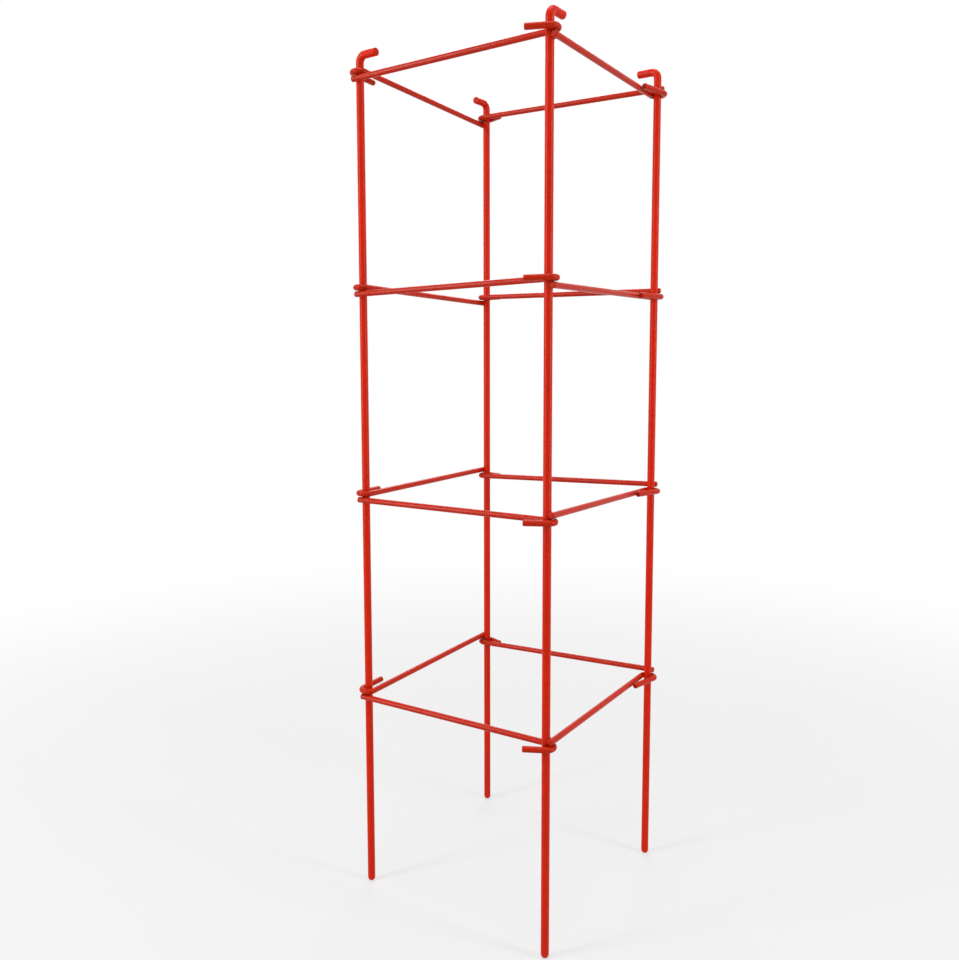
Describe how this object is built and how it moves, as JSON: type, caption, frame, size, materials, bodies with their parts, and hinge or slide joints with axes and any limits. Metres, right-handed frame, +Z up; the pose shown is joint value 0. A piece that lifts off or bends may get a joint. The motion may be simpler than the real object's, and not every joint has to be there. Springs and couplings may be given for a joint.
{
  "type": "folding tomato cage",
  "caption": "Square folding plant cage of coated round rod: legs with bent top arms, and tiers of bars ending in eyes that turn on the legs, so it opens square and folds flat.",
  "frame": {"origin": "on the ground, at the middle of the square that the legs stand on", "axes": "+Z up along the legs, +X along the front frame from its own leg to the right frame's leg, +Y from the front frame to the back frame"},
  "size_m": [0.3444, 0.3349, 1.2012],
  "materials": {
    "coat": "gloss orange-red plastic coat",
    "weld_coat": "gloss orange-red plastic coat over a weld bead"
  },
  "bodies": {
    "front_frame": {"front_leg": "coat", "front_bar_1": "coat", "front_bar_2": "coat", "front_bar_3": "coat", "front_bar_4": "coat", "front_welds": "weld_coat"},
    "right_frame": {"right_leg": "coat", "right_bar_1": "coat", "right_bar_2": "coat", "right_bar_3": "coat", "right_bar_4": "coat", "right_welds": "weld_coat"},
    "back_frame": {"back_leg": "coat", "back_bar_1": "coat", "back_bar_2": "coat", "back_bar_3": "coat", "back_bar_4": "coat", "back_welds": "weld_coat"},
    "left_frame": {"left_leg": "coat", "left_bar_1": "coat", "left_bar_2": "coat", "left_bar_3": "coat", "left_bar_4": "coat", "left_welds": "weld_coat"}
  },
  "joints": [
    {"name": "left_fold", "type": "hinge", "parent": "front_frame", "child": "left_frame", "pos_m": [-0.152, -0.152, 0.6], "axis": [0, 0, 1], "range_deg": [-78, 78]},
    {"name": "right_fold", "type": "hinge", "parent": "front_frame", "child": "right_frame", "pos_m": [0.152, -0.152, 0.6], "axis": [0, 0, 1], "range_deg": [-78, 78]},
    {"name": "back_fold", "type": "hinge", "parent": "right_frame", "child": "back_frame", "pos_m": [0.152, 0.152, 0.6], "axis": [0, 0, 1], "range_deg": [-78, 78]}
  ],
  "couplings": [
    {"joint": "right_fold", "follows": "left_fold", "ratio": 1},
    {"joint": "back_fold", "follows": "left_fold", "ratio": -1}
  ]
}
